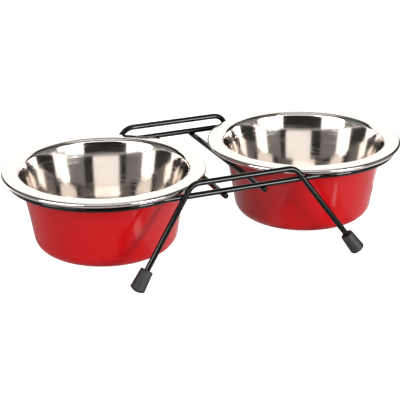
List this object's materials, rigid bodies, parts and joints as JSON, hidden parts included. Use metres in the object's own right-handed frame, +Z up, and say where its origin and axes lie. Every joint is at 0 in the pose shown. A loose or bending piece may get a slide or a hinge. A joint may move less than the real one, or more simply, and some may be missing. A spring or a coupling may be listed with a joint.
{
  "type": "double pet bowl",
  "caption": "Raised double pet diner: round red-lacquered steel bowls with wide polished flanges, lifting out of a black wire stand with splayed legs and rubber feet.",
  "frame": {"origin": "on the floor, under the middle of the stand, between the bowls", "axes": "+X from the left bowl to the right bowl, +Y from front to back, +Z up"},
  "size_m": [0.3558, 0.1946, 0.0809],
  "materials": {
    "red_lacquer": "gloss red lacquer on the outside of a pressed steel bowl; the inside, flange and rolled rim are bare polished steel",
    "polished_steel": "bright polished stainless steel with a fine grain round the bowl",
    "black_wire": "smooth semi-gloss black coating on steel wire",
    "foot_rubber": "matt charcoal rubber"
  },
  "bodies": {
    "stand": {"hoop": "black_wire", "left_cross_bar": "black_wire", "right_cross_bar": "black_wire", "front_leg_frame": "black_wire", "back_leg_frame": "black_wire", "front_left_foot": "foot_rubber", "front_right_foot": "foot_rubber", "back_left_foot": "foot_rubber", "back_right_foot": "foot_rubber"},
    "left_bowl": {"left_bowl": "red_lacquer"},
    "right_bowl": {"right_bowl": "red_lacquer"}
  },
  "joints": [
    {"name": "left_bowl_lift", "type": "slide", "parent": "stand", "child": "left_bowl", "axis": [0, 0, 1], "range_m": [0, 0.12]},
    {"name": "right_bowl_lift", "type": "slide", "parent": "stand", "child": "right_bowl", "axis": [0, 0, 1], "range_m": [0, 0.12]}
  ]
}
